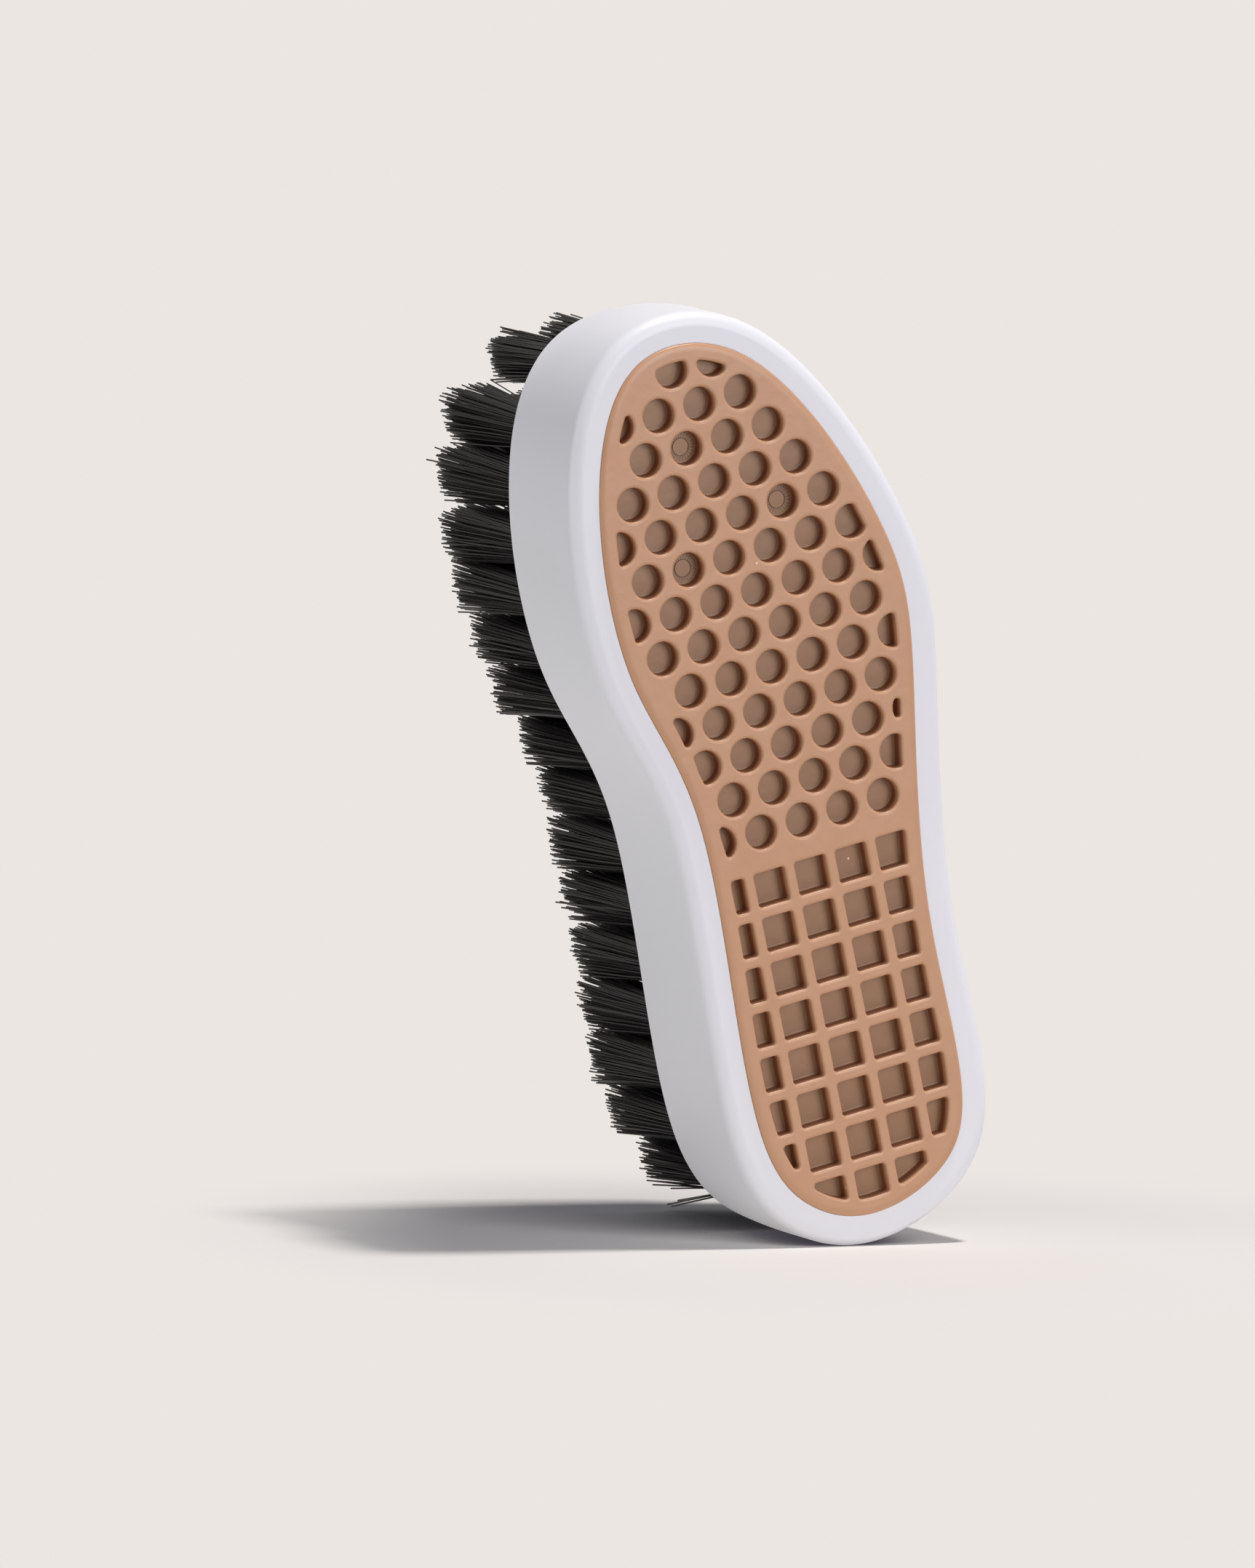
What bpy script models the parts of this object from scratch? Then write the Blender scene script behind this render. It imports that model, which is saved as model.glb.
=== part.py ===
"""Shoe brush with a sole-shaped grip, lying on its bristles with the tread up.

+X points to the toe, +Y to the arch side of the sole and +Z up through the tread. The origin is on the
floor under the middle of the body. All sizes are in metres.
"""

import math

import bmesh
import bpy
import numpy as np
from mathutils import Matrix, Vector

# Body of the brush
BODY_LENGTH = 0.129
BODY_WIDTH = 0.0504
WALL_HEIGHT = 0.020
WALL_THICKNESS = 0.0018
WALL_TUCK = 0.0004
TOE_TUCK = 0.0012
TUCK_HEIGHT = 0.012
FACE_RADIUS = 0.0018
RIM_RADIUS = 0.0005
DECK_THICKNESS = 0.0022
BORDER_WIDTH = 0.0041
CLEARANCE = 0.0003

# Ribs under the deck and snap nubs inside the rim
RIB_THICKNESS = 0.0015
RIB_EVERY = 2
NUB_COUNT = 8
NUB_LENGTH = 0.0060
NUB_HEIGHT = 0.0007
NUB_CATCH = 0.0005
ROOT_DEPTH = 0.0006

# Tread pad and the tape below it
PAD_THICKNESS = 0.0030
PAD_PROUD = 0.0004
PAD_EDGE_DROP = 0.0004
PAD_EDGE_WIDTH = 0.0008
TAPE_THICKNESS = 0.0005
TAPE_MARGIN = 0.0015
PAD_BORDER = 0.0019
POCKET_DEPTH = 0.0020
POCKET_DRAFT = 0.0002
POCKET_PITCH = 0.0061
POCKET_RIB = 0.0015
POCKET_CORNER = 0.0005
POCKET_OVERHANG = 0.0013
PLAIN_BAND = 0.0030
BAND_X = -0.0100

# Tuft plate
PLATE_THICKNESS = 0.0035
PLATE_RECESS = 0.0012
PLATE_MARGIN = 0.0010
HOLE_RADIUS = 0.0024

# Tufts: rows lie across the brush, and each strand stands for a bunch of filaments
BRISTLE_LENGTH = 0.024
ROW_PITCH = 0.0075
TUFT_PITCH = 0.0080
TOE_SET = 0.0009
TOE_NARROW = 0.0015
HEEL_SET = 0.0032
STRANDS_PER_TUFT = 7
STRAND_TAPER = 0.50
TIP_FILL_RATIO = 1.22
TIP_LEAN = 0.0010
STRIP_THICKNESS = 0.0015
STRIP_LIP = 0.0004
STRIP_END_FLAT = 0.0002

# How finely round forms are divided
SPLINE_STEPS = 40
OUTLINE_STEPS = 84
FILLET_STEPS = 3
TUCK_STEPS = 3
POCKET_SIDES = 10
STRIP_CORNER_STEPS = 3
CUT_EXTRA = 0.001
ROUND_PROFILE = 0.5

# The sole's outline, run anticlockwise from the toe. It is fitted to the body's length and width.
SOLE_POINTS = [
    (0.06325, 0.01225),
    (0.04700, 0.02325),
    (0.01775, 0.02425),
    (-0.00275, 0.01875),
    (-0.04675, 0.01850),
    (-0.06025, 0.01175),
    (-0.06450, -0.00025),
    (-0.05600, -0.01700),
    (-0.02425, -0.01975),
    (0.01250, -0.02475),
    (0.03050, -0.02350),
    (0.06000, -0.00700),
]

# Levels, from the floor up
RIM_Z = BRISTLE_LENGTH
PLATE_Z = RIM_Z + PLATE_RECESS
PLATE_TOP = PLATE_Z + PLATE_THICKNESS
STRIP_Z = PLATE_TOP + CLEARANCE
FACE_Z = RIM_Z + WALL_HEIGHT
PAD_TOP = FACE_Z + PAD_PROUD
PAD_Z = PAD_TOP - PAD_THICKNESS
TAPE_Z = PAD_Z - CLEARANCE - TAPE_THICKNESS
RECESS_Z = TAPE_Z - CLEARANCE
DECK_Z = RECESS_Z - DECK_THICKNESS

# Insets from the body's widest outline
WALL_INSET = WALL_TUCK + WALL_THICKNESS
PLATE_INSET = WALL_INSET + CLEARANCE
TUFT_INSET = PLATE_INSET + PLATE_MARGIN + HOLE_RADIUS
PAD_INSET = BORDER_WIDTH + CLEARANCE
FIELD_INSET = PAD_INSET + PAD_BORDER


def smooth_loop(points, steps):
    """Points at even steps along the closed curve that runs smoothly through the given points."""
    knots = np.array(points)
    count = len(knots)
    spans = np.sqrt(np.linalg.norm(np.roll(knots, -1, axis=0) - knots, axis=1))
    system = np.zeros((count, count))
    target = np.zeros((count, 2))
    for i in range(count):
        before = spans[i - 1]
        after = spans[i]
        system[i, i - 1] = before
        system[i, i] = 2 * (before + after)
        system[i, (i + 1) % count] = after
        rise = (knots[(i + 1) % count] - knots[i]) / after
        fall = (knots[i] - knots[i - 1]) / before
        target[i] = 6 * (rise - fall)
    bend = np.linalg.solve(system, target)
    pieces = []
    for i in range(count):
        span = spans[i]
        far = (i + 1) % count
        u = np.linspace(0, span, SPLINE_STEPS, endpoint=False)[:, None]
        curve = bend[i] * (span - u) ** 3 + bend[far] * u ** 3
        line = (knots[i] / span - bend[i] * span / 6) * (span - u)
        line += (knots[far] / span - bend[far] * span / 6) * u
        pieces.append(curve / (6 * span) + line)
    fine = np.concatenate(pieces)
    closed = np.vstack([fine, fine[:1]])
    run = np.concatenate([[0], np.cumsum(np.linalg.norm(np.diff(closed, axis=0), axis=1))])
    even = np.linspace(0, run[-1], steps, endpoint=False)
    return np.stack([np.interp(even, run, closed[:, 0]), np.interp(even, run, closed[:, 1])], axis=1)


def body_outline():
    """The body's widest outline, centred and fitted to its length and width."""
    loop = smooth_loop(SOLE_POINTS, OUTLINE_STEPS)
    low = loop.min(axis=0)
    high = loop.max(axis=0)
    return (loop - (low + high) / 2) * (np.array([BODY_LENGTH, BODY_WIDTH]) / (high - low))


OUTLINE = body_outline()


def outward_normals(loop):
    """Unit normals of an anticlockwise loop, pointing out."""
    along = np.roll(loop, -1, axis=0) - np.roll(loop, 1, axis=0)
    along /= np.linalg.norm(along, axis=1)[:, None]
    return np.stack([along[:, 1], -along[:, 0]], axis=1)


def inset_outline(inset, toe_inset=0.0):
    """The body's outline drawn in by an inset, and by a second one that grows where it faces the toe."""
    normals = outward_normals(OUTLINE)
    facing_toe = np.maximum(normals[:, :1], 0) ** 2
    return OUTLINE - normals * (inset + toe_inset * facing_toe)


def chord(x, inset):
    """Lowest and highest Y, at a station along the brush, of the inset outline below the tuck."""
    loop = inset_outline(inset, TOE_TUCK)
    ends = np.roll(loop, -1, axis=0)
    crossings = []
    for start, end in zip(loop, ends):
        if (start[0] - x) * (end[0] - x) < 0:
            share = (x - start[0]) / (end[0] - start[0])
            crossings.append(start[1] + share * (end[1] - start[1]))
    return min(crossings), max(crossings)


def finish(name, bm, material, smooth_angle=35):
    """Make an object of a bmesh, with its material, and shade its round faces smooth."""
    bmesh.ops.recalc_face_normals(bm, faces=bm.faces)
    mesh = bpy.data.meshes.new(name)
    bm.to_mesh(mesh)
    bm.free()
    if material:
        mesh.materials.append(material)
    mesh.shade_smooth()
    mesh.set_sharp_from_angle(angle=math.radians(smooth_angle))
    part = bpy.data.objects.new(name, mesh)
    bpy.context.scene.collection.objects.link(part)
    return part


def guide(name, bm):
    """A helper solid that cuts or joins another, and is no piece of the brush."""
    solid = finish(name, bm, None)
    solid.hide_render = True
    solid.display_type = "WIRE"
    return solid


def boolean(part, operation, tool):
    """Let a helper solid work on a piece."""
    modifier = part.modifiers.new(operation.lower(), "BOOLEAN")
    modifier.operation = operation
    modifier.object = tool
    modifier.solver = "EXACT"


def loft(sections):
    """One closed body through sole-shaped sections, each an inset, a toe inset and a height."""
    bm = bmesh.new()
    station = bm.verts.layers.int.new("station")
    inset, toe_inset, z = sections[0]
    for i, (x, y) in enumerate(inset_outline(inset, toe_inset)):
        corner = bm.verts.new((x, y, z))
        corner[station] = i
    bm.faces.new(bm.verts)
    for inset, toe_inset, z in sections[1:]:
        open_edges = [edge for edge in bm.edges if edge.is_boundary]
        if not open_edges:
            open_edges = bm.edges[:]
        grown = bmesh.ops.extrude_edge_only(bm, edges=open_edges)["geom"]
        points = inset_outline(inset, toe_inset)
        for corner in grown:
            if isinstance(corner, bmesh.types.BMVert):
                x, y = points[corner[station]]
                corner.co = (x, y, z)
    rim = [edge for edge in bm.edges if edge.is_boundary]
    bmesh.ops.edgeloop_fill(bm, edges=rim)
    return bm


def add_box(bm, size, place, turn=0.0):
    """Add a box of a size, turned about Z and centred on a place."""
    matrix = Matrix.Translation(place) @ Matrix.Rotation(turn, 4, "Z") @ Matrix.Diagonal((*size, 1))
    bmesh.ops.create_cube(bm, size=1, matrix=matrix)


def linear(hex_colour):
    """An sRGB hex colour as linear RGBA."""
    channels = [int(hex_colour[i:i + 2], 16) / 255 for i in (0, 2, 4)]
    return [c / 12.92 if c <= 0.04045 else ((c + 0.055) / 1.055) ** 2.4 for c in channels] + [1]


def plastic(name, hex_colour, roughness):
    """A plain non-metal material."""
    material = bpy.data.materials.new(name)
    material.use_nodes = True
    shader = material.node_tree.nodes["Principled BSDF"]
    shader.inputs["Base Color"].default_value = linear(hex_colour)
    shader.inputs["Roughness"].default_value = roughness
    shader.inputs["Metallic"].default_value = 0
    return material


def tuft_rows():
    """X of each row of tufts, from the heel to the toe, with the Y of its tufts."""
    heel = -BODY_LENGTH / 2 + TUFT_INSET + HEEL_SET
    toe = BODY_LENGTH / 2 - TUFT_INSET - TOE_TUCK - TOE_SET
    stations = np.linspace(heel, toe, round((toe - heel) / ROW_PITCH) + 1)
    rows = []
    for x in stations:
        low, high = chord(x, TUFT_INSET)
        if x == stations[-1]:
            low += TOE_NARROW
            high -= TOE_NARROW
        count = round((high - low) / TUFT_PITCH) + 1
        rows.append((x, np.linspace(low, high, max(count, 2))))
    return rows


def build_cover(material, rows):
    """The white cover: tall side wall that tucks in below, recess for the pad, ribbed deck, snap nubs."""
    sections = [(BORDER_WIDTH, 0, RECESS_Z), (BORDER_WIDTH, 0, FACE_Z)]
    for step in range(FILLET_STEPS + 1):
        turn = math.radians(90) * step / FILLET_STEPS
        inset = FACE_RADIUS * (1 - math.sin(turn))
        sections.append((inset, 0, FACE_Z - FACE_RADIUS * (1 - math.cos(turn))))
    for step in range(TUCK_STEPS + 1):
        share = step / TUCK_STEPS
        height = RIM_RADIUS + (TUCK_HEIGHT - RIM_RADIUS) * (1 - share)
        sections.append((WALL_TUCK * share ** 2, TOE_TUCK * share ** 2, RIM_Z + height))
    sections.append((WALL_TUCK + RIM_RADIUS, TOE_TUCK, RIM_Z))
    sections.append((WALL_INSET, TOE_TUCK, RIM_Z))
    sections.append((WALL_INSET, TOE_TUCK, DECK_Z))
    cover = finish("cover_shell", loft(sections), material)

    bm = bmesh.new()
    rib_z = PLATE_TOP + CLEARANCE
    rib_height = DECK_Z + ROOT_DEPTH - rib_z
    for i in range(RIB_EVERY - 1, len(rows) - 1, RIB_EVERY):
        x = (rows[i][0] + rows[i + 1][0]) / 2
        low, high = chord(x, WALL_INSET - ROOT_DEPTH)
        size = (RIB_THICKNESS, high - low, rib_height)
        add_box(bm, size, (x, (low + high) / 2, rib_z + rib_height / 2))
    wall = inset_outline(WALL_INSET, TOE_TUCK)
    normals = outward_normals(OUTLINE)
    nub_depth = ROOT_DEPTH + CLEARANCE + NUB_CATCH
    nub_z = PLATE_Z - CLEARANCE - NUB_HEIGHT / 2
    for i in range(NUB_COUNT):
        station = round((i + 0.5) * OUTLINE_STEPS / NUB_COUNT) % OUTLINE_STEPS
        out = Vector(normals[station])
        middle = Vector(wall[station]) + out * (ROOT_DEPTH - nub_depth / 2)
        add_box(bm, (nub_depth, NUB_LENGTH, NUB_HEIGHT), (*middle, nub_z), math.atan2(out.y, out.x))
    boolean(cover, "UNION", guide("cover_ribs_and_nubs", bm))
    return cover


def build_tape(material):
    """The adhesive film under the tread pad."""
    inset = BORDER_WIDTH + TAPE_MARGIN
    return finish("pad_tape", loft([(inset, 0, TAPE_Z), (inset, 0, TAPE_Z + TAPE_THICKNESS)]), material)


def inside(point, loop):
    """Whether a point lies inside a closed loop."""
    x, y = point
    hit = False
    for (ax, ay), (bx, by) in zip(loop, np.roll(loop, -1, axis=0)):
        if (ay > y) != (by > y) and x < ax + (y - ay) / (by - ay) * (bx - ax):
            hit = not hit
    return hit


def pocket_places():
    """Centres of the round pockets, in staggered rows, and of the square ones, in straight rows."""
    reach = BODY_LENGTH / 2
    side = BODY_WIDTH / 2
    columns = np.arange(-math.floor(side / POCKET_PITCH), side / POCKET_PITCH)
    round_places = []
    square_places = []
    first = BAND_X + (PLAIN_BAND + POCKET_PITCH - POCKET_RIB) / 2
    row_step = POCKET_PITCH * math.sqrt(3) / 2
    for i, x in enumerate(np.arange(first, reach, row_step)):
        shift = POCKET_PITCH / 2 * (i % 2)
        round_places += [(x, column * POCKET_PITCH + shift) for column in columns]
    last = BAND_X - (PLAIN_BAND + POCKET_PITCH - POCKET_RIB) / 2
    for x in np.arange(last, -reach, -POCKET_PITCH):
        square_places += [(x, column * POCKET_PITCH) for column in columns]
    field = inset_outline(FIELD_INSET - POCKET_OVERHANG)
    return [p for p in round_places if inside(p, field)], [p for p in square_places if inside(p, field)]


def build_pad(material):
    """The rubber tread pad, with pockets sunk into its top inside a plain border."""
    sections = [
        (PAD_INSET, 0, PAD_Z),
        (PAD_INSET, 0, PAD_TOP - PAD_EDGE_DROP),
        (PAD_INSET + PAD_EDGE_WIDTH, 0, PAD_TOP),
    ]
    pad = finish("tread_pad", loft(sections), material)

    bm = bmesh.new()
    width = POCKET_PITCH - POCKET_RIB
    floor_z = PAD_TOP - POCKET_DEPTH
    cut_height = POCKET_DEPTH + CUT_EXTRA
    widen = POCKET_DRAFT * cut_height / POCKET_DEPTH
    round_places, square_places = pocket_places()
    for x, y in round_places:
        bmesh.ops.create_cone(
            bm, cap_ends=True, segments=POCKET_SIDES, depth=cut_height,
            radius1=width / 2 - POCKET_DRAFT, radius2=width / 2 - POCKET_DRAFT + widen,
            matrix=Matrix.Translation((x, y, floor_z + cut_height / 2)))
    uprights = []
    eighth_turn = Matrix.Rotation(math.radians(45), 4, "Z")
    half_diagonal = width / math.sqrt(2)
    for x, y in square_places:
        made = bmesh.ops.create_cone(
            bm, cap_ends=True, segments=4, depth=cut_height,
            radius1=half_diagonal - POCKET_DRAFT, radius2=half_diagonal - POCKET_DRAFT + widen,
            matrix=Matrix.Translation((x, y, floor_z + cut_height / 2)) @ eighth_turn)
        edges = {edge for corner in made["verts"] for edge in corner.link_edges}
        uprights += [e for e in edges if abs(e.verts[0].co.z - e.verts[1].co.z) > cut_height / 2]
    bmesh.ops.bevel(bm, geom=uprights, offset=POCKET_CORNER, segments=1, profile=ROUND_PROFILE,
                    affect="EDGES")
    pockets = guide("tread_pockets", bm)
    field = loft([(FIELD_INSET, 0, floor_z - CUT_EXTRA), (FIELD_INSET, 0, PAD_TOP + 2 * CUT_EXTRA)])
    boolean(pockets, "INTERSECT", guide("tread_field", field))
    boolean(pad, "DIFFERENCE", pockets)
    return pad


def build_plate(material, rows):
    """The plate that closes the underside, with a through hole for each tuft."""
    sections = [(PLATE_INSET, TOE_TUCK, PLATE_Z), (PLATE_INSET, TOE_TUCK, PLATE_TOP)]
    plate = finish("tuft_plate", loft(sections), material)
    bm = bmesh.new()
    depth = PLATE_THICKNESS + 2 * CUT_EXTRA
    for x, places in rows:
        for y in places:
            bmesh.ops.create_cone(
                bm, cap_ends=True, segments=STRANDS_PER_TUFT, radius1=HOLE_RADIUS, radius2=HOLE_RADIUS,
                depth=depth, matrix=Matrix.Translation((x, y, PLATE_Z + PLATE_THICKNESS / 2)))
    boolean(plate, "DIFFERENCE", guide("tuft_holes", bm))
    return plate


def add_tuft(bm, x, y, lean, row_pitch, tuft_pitch):
    """Add a tuft: a stem that fills its hole, ending in strands that fan out and lean to flat-cut tips."""
    radius = HOLE_RADIUS - CLEARANCE
    top = STRIP_Z + STRIP_THICKNESS / 2
    made = bmesh.ops.create_cone(
        bm, cap_ends=True, cap_tris=True, segments=STRANDS_PER_TUFT, radius1=radius, radius2=radius,
        depth=top - PLATE_Z, matrix=Matrix.Translation((x, y, (top + PLATE_Z) / 2)))
    faces = {face for corner in made["verts"] for face in corner.link_faces}
    roots = [face for face in faces if face.calc_center_median().z < PLATE_Z + CLEARANCE]
    strands = bmesh.ops.extrude_discrete_faces(bm, faces=roots)["faces"]
    fan = Vector((row_pitch, min(tuft_pitch, TUFT_PITCH), 0)) * (TIP_FILL_RATIO / 2 / radius)
    axis = Vector((x, y, 0))
    for strand in strands:
        spread = [(corner.co - axis) * fan for corner in strand.verts]
        middle = sum(spread, Vector()) / len(spread)
        for corner, place in zip(strand.verts, spread):
            tip = axis + middle + (place - middle) * STRAND_TAPER
            corner.co = (tip.x, tip.y + lean, 0)


def build_row(name, material, x, places, row_pitch):
    """A row of tufts on the strip of melted bristle ends behind the plate. Its end tufts lean outwards."""
    radius = HOLE_RADIUS - CLEARANCE + STRIP_LIP
    reach = (places[-1] - places[0]) / 2
    middle = (places[-1] + places[0]) / 2
    bm = bmesh.new()
    add_box(bm, (2 * radius, 2 * (reach + radius), STRIP_THICKNESS),
            (x, middle, STRIP_Z + STRIP_THICKNESS / 2))
    uprights = [edge for edge in bm.edges if abs(edge.verts[0].co.z - edge.verts[1].co.z) > CLEARANCE]
    bmesh.ops.bevel(bm, geom=uprights, offset=radius - STRIP_END_FLAT / 2, segments=STRIP_CORNER_STEPS,
                    profile=ROUND_PROFILE, affect="EDGES")
    strip = finish(name, bm, material)
    bm = bmesh.new()
    for y in places:
        lean = (y - middle) / reach * TIP_LEAN
        add_tuft(bm, x, y, lean, row_pitch, places[1] - places[0])
    boolean(strip, "UNION", guide(name + "_tufts", bm))
    return strip


def main():
    for old in list(bpy.data.objects):
        bpy.data.objects.remove(old, do_unlink=True)
    white = plastic("white_moulded_plastic", "E4E2E6", 0.35)
    tan = plastic("tan_rubber", "C4906E", 0.60)
    adhesive = plastic("adhesive_film", "D8D2C0", 0.70)
    black = plastic("black_bristle_nylon", "262524", 0.45)

    rows = tuft_rows()
    build_cover(white, rows)
    build_tape(adhesive)
    build_pad(tan)
    build_plate(white, rows)
    row_pitch = rows[1][0] - rows[0][0]
    tufts = 0
    for i, (x, places) in enumerate(rows):
        build_row(f"tuft_row_{i + 1:02d}", black, x, places, row_pitch)
        tufts += len(places)
    print("rows", len(rows), "tufts", tufts, "strands", tufts * STRANDS_PER_TUFT)


main()
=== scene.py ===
# %% [markdown]
# # Shoe brush with a sole-shaped grip
# The brush is a tall white cover shaped like a shoe sole, with a tan rubber tread let into its top
# and black bristles below. Here every surface gets its finish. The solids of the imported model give
# the places and sizes, so each new piece is built from their boxes and stays where the solid is.

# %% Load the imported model
import math

import bmesh
import bpy
import numpy as np
from mathutils import Matrix, Vector


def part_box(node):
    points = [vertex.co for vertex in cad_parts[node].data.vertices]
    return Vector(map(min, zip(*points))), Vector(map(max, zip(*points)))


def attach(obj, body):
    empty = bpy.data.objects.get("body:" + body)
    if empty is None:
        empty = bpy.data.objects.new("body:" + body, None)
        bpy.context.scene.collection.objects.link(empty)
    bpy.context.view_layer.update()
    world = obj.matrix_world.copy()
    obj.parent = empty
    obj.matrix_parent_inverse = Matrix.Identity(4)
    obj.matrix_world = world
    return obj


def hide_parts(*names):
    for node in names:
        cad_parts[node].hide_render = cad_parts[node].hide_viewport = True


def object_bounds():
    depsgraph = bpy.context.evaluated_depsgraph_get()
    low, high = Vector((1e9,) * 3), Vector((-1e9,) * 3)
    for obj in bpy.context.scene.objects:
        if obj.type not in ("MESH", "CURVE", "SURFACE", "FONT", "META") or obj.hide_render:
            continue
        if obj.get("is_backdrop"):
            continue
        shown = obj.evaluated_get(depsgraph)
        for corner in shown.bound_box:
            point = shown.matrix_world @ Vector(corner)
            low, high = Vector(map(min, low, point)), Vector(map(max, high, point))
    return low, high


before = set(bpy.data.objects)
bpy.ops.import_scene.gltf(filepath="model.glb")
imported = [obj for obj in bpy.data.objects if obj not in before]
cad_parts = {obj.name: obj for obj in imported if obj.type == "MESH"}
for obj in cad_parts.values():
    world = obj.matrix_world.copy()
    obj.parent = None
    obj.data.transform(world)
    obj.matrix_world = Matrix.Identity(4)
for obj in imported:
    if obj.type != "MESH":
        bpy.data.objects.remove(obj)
cad_low, cad_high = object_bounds()
print("solid model, mm:", [round(1000 * side, 1) for side in cad_high - cad_low])

MM = 0.001

# %% [markdown]
# ## Sizes from the solids
# The cover's widest ring of corners is the outline of the whole brush. It could be drawn again by
# hand, but read from the solid it never drifts away from it. Its corners are joined by a smooth
# curve, because the solid's facets would show on glossy plastic.

# %% Levels and outline
cover_low, cover_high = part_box("cover_shell")
pad_low, pad_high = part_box("tread_pad")
tape_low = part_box("pad_tape")[0]
plate_low, plate_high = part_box("tuft_plate")
row_names = sorted(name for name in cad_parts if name.startswith("tuft_row"))

CLEARANCE = 0.3 * MM
TOLERANCE = 0.01 * MM
DECIMALS = 7
RING_STEPS = 5

corners = [vertex.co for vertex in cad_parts["cover_shell"].data.vertices]
widest = [co.z for co in corners if co.x > cover_high.x - TOLERANCE]
shoulder_z = max(widest)
tuck_z = min(widest)
ring = {(round(co.x, DECIMALS), round(co.y, DECIMALS)) for co in corners
        if abs(co.z - shoulder_z) < TOLERANCE}
knots = np.array(sorted(ring, key=lambda place: math.atan2(place[1], place[0])))


def smooth_ring(knots, steps):
    """Points along the closed curve through the knots, some steps from each to the next."""
    ahead = np.roll(knots, -1, axis=0)
    slope = (ahead - np.roll(knots, 1, axis=0)) / 2
    slope_ahead = np.roll(slope, -1, axis=0)
    rows = []
    for t in np.arange(steps) / steps:
        bend = (t ** 3 - 2 * t ** 2 + t) * slope + (t ** 3 - t ** 2) * slope_ahead
        line = (2 * t ** 3 - 3 * t ** 2 + 1) * knots + (3 * t ** 2 - 2 * t ** 3) * ahead
        rows.append(line + bend)
    return np.stack(rows, axis=1).reshape(-1, 2)


def inward(loop):
    """Unit directions across an anticlockwise loop, towards its inside."""
    along = np.roll(loop, -1, axis=0) - np.roll(loop, 1, axis=0)
    along /= np.linalg.norm(along, axis=1)[:, None]
    return np.stack([-along[:, 1], along[:, 0]], axis=1)


outline = smooth_ring(knots, RING_STEPS)
outline_in = inward(outline)
PLATE_INSET = plate_low.x - cover_low.x
TOE_TUCK = cover_high.x - plate_high.x - PLATE_INSET
tucked = outline + outline_in * TOE_TUCK * np.maximum(-outline_in[:, :1], 0) ** 2
print("outline:", len(knots), "corners,", len(outline), "points")
print("toe tuck, mm:", round(TOE_TUCK / MM, 2))

# %% [markdown]
# The wall stands straight at the sides and draws in below the toe, so the plate, the ribs and the
# rim follow the tucked outline. The strip of fused bristle ends behind the plate shows where each
# row of tufts is.

# %% Rows and tufts
TUFT_PITCH = 8.0 * MM
HOLE_RADIUS = 2.4 * MM
HOLE_PLAY = 0.2 * MM
BUNDLE_RADIUS = HOLE_RADIUS - HOLE_PLAY


def strip_box(name):
    """The corners of the fused strip behind the plate, which is the top of a row's solid."""
    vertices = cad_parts[name].data.vertices
    high = [vertex.co for vertex in vertices if vertex.co.z > plate_high.z]
    return Vector(np.min(high, axis=0)), Vector(np.max(high, axis=0))


tufts = {}
strips = {}
for name in row_names:
    low, high = strip_box(name)
    strips[name] = (low, high)
    reach = (high.x - low.x) / 2
    first, last = low.y + reach, high.y - reach
    count = max(round((last - first) / TUFT_PITCH) + 1, 2)
    tufts[name] = [((low.x + high.x) / 2, y) for y in np.linspace(first, last, count)]
row_x = [tufts[name][0][0] for name in row_names]
row_pitch = row_x[1] - row_x[0]
print("rows:", len(row_names), "tufts:", sum(len(places) for places in tufts.values()))

# %% [markdown]
# ## The photograph's view
# The camera looks down on the tread from the arch side. The brush stands on its heel end in the
# picture. The model could be stood up for that, but it has to stay where its solids are, so the
# camera is rolled about its own axis instead, which turns the toe upwards. A long lens from far
# away gives the flat perspective of a catalogue picture.

# %% Camera
VIEW_TARGET = Vector((5.4, 23.8, 44.4)) * MM
VIEW_AZIMUTH = 150.36
VIEW_ELEVATION = 62.64
VIEW_ROLL = 105.76
VIEW_DISTANCE = 6.0
PICTURE_HEIGHT = 206.35 * MM
SENSOR_WIDTH = 36

turn = Matrix.Rotation(math.radians(VIEW_AZIMUTH), 3, "Z")
tilt = Matrix.Rotation(math.radians(90 - VIEW_ELEVATION), 3, "X")
roll = Matrix.Rotation(math.radians(VIEW_ROLL), 3, "Z")
aim = turn @ tilt @ roll
to_right, to_top, to_viewer = aim.col

lens = bpy.data.cameras.new("catalogue_camera")
lens.sensor_width = SENSOR_WIDTH
lens.lens = SENSOR_WIDTH * VIEW_DISTANCE / PICTURE_HEIGHT
camera = bpy.data.objects.new("catalogue_camera", lens)
camera.matrix_world = Matrix.Translation(VIEW_TARGET + to_viewer * VIEW_DISTANCE) @ aim.to_4x4()
bpy.context.scene.collection.objects.link(camera)
bpy.context.scene.camera = camera
print("camera right", to_right[:], "up", to_top[:])

# %% [markdown]
# ## Helpers for materials
# One function turns the hex colours of the real finishes to the linear values that shaders want,
# and one adds a node with its settings and links. Every pattern reads Object coordinates, which are
# metres here, so a noise scale is one over the size of its grain.

# %% Material helpers


def linear(hex_colour):
    """An sRGB hex colour as linear RGBA."""
    channels = [int(hex_colour[i:i + 2], 16) / 255 for i in (0, 2, 4)]
    return [c / 12.92 if c <= 0.04045 else ((c + 0.055) / 1.055) ** 2.4
            for c in channels] + [1]


def add_node(tree, kind, inputs=None, **settings):
    """Add a node, with its settings, and with its inputs as values or as sockets to link."""
    node = tree.nodes.new(kind)
    for name, value in settings.items():
        setattr(node, name, value)
    for socket, value in (inputs or {}).items():
        if isinstance(value, bpy.types.NodeSocket):
            tree.links.new(value, node.inputs[socket])
        else:
            node.inputs[socket].default_value = value
    return node


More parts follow.
